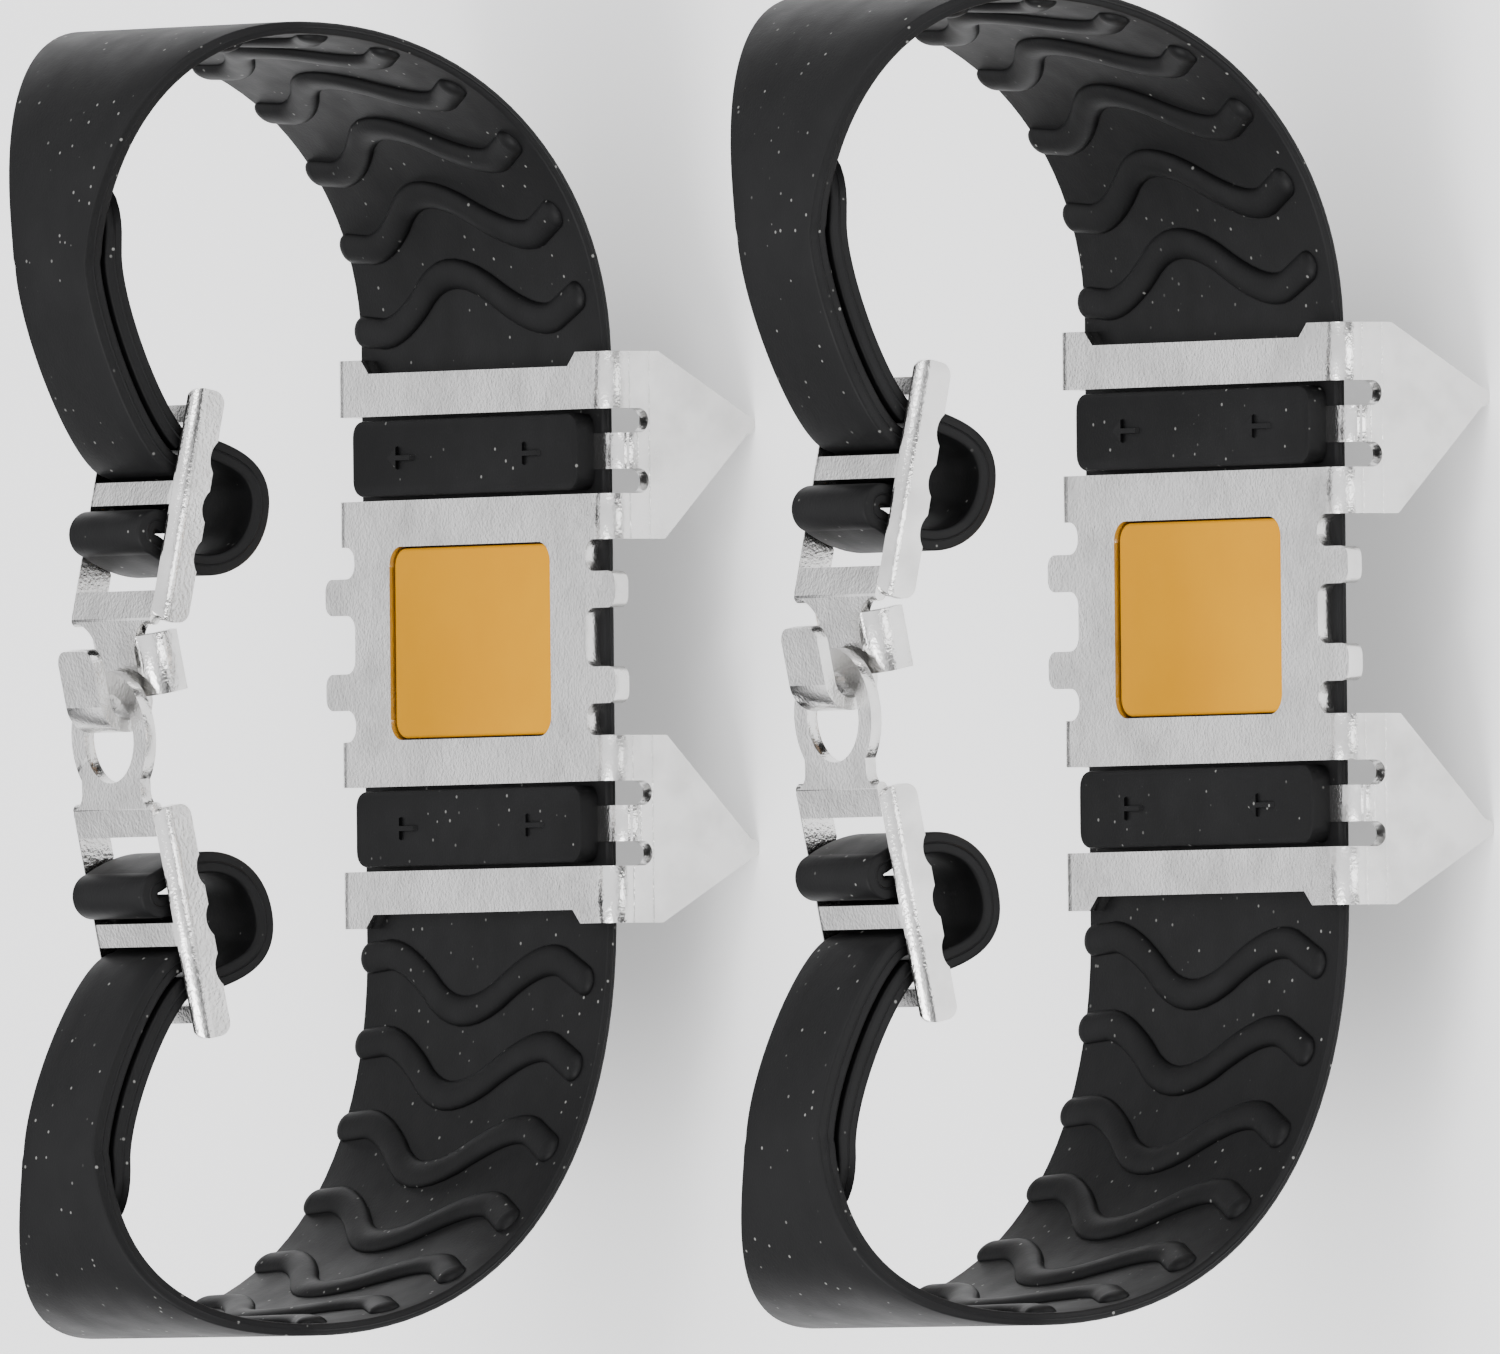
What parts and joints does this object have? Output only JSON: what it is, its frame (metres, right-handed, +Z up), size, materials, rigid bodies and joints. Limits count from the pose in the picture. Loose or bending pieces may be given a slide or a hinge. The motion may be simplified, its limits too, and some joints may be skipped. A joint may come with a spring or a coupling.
{
  "type": "microspikes",
  "caption": "Pair of slip-on ice spikes: a stamped steel plate with ground spikes woven into a ribbed rubber strap that closes over the instep with a hook and an eye.",
  "frame": {"origin": "middle of the pair on the ground that the spike tips stand on", "axes": "+X across the foot towards the hook side, +Y along the foot from the right unit to the left unit, +Z up towards the sole and the closure"},
  "size_m": [0.1604, 0.222, 0.0834],
  "materials": {
    "strap_rubber": "matte moulded silicone rubber",
    "spike_steel": "bright nickel plated sheet, satin on the spikes",
    "pad_rubber": "satin yellow-orange elastomer",
    "buckle_steel": "bright nickel plated sheet"
  },
  "bodies": {
    "left_base": {"left_strap": "strap_rubber", "left_spike_plate": "spike_steel", "left_sole_pad": "pad_rubber"},
    "left_hook": {"left_hook_buckle": "buckle_steel"},
    "left_eye": {"left_eye_buckle": "buckle_steel"},
    "right_base": {"right_strap": "strap_rubber", "right_spike_plate": "spike_steel", "right_sole_pad": "pad_rubber"},
    "right_hook": {"right_hook_buckle": "buckle_steel"},
    "right_eye": {"right_eye_buckle": "buckle_steel"}
  },
  "joints": [
    {"name": "left_hook_rock", "type": "hinge", "parent": "left_base", "child": "left_hook", "pos_m": [0.02288, 0.079, 0.07081], "axis": [0, 1, 0], "range_deg": [-2, 5]},
    {"name": "left_eye_rock", "type": "hinge", "parent": "left_base", "child": "left_eye", "pos_m": [-0.03088, 0.079, 0.07081], "axis": [0, 1, 0], "range_deg": [-5, 2]},
    {"name": "right_hook_rock", "type": "hinge", "parent": "right_base", "child": "right_hook", "pos_m": [0.02288, -0.079, 0.07081], "axis": [0, 1, 0], "range_deg": [-2, 5]},
    {"name": "right_eye_rock", "type": "hinge", "parent": "right_base", "child": "right_eye", "pos_m": [-0.03088, -0.079, 0.07081], "axis": [0, 1, 0], "range_deg": [-5, 2]},
    {"name": "pair_slide", "type": "slide", "parent": "left_base", "child": "right_base", "axis": [0, -1, 0], "range_m": [0, 0.05]}
  ],
  "couplings": [
    {"joint": "left_eye_rock", "follows": "left_hook_rock", "ratio": -1},
    {"joint": "right_eye_rock", "follows": "right_hook_rock", "ratio": -1}
  ]
}
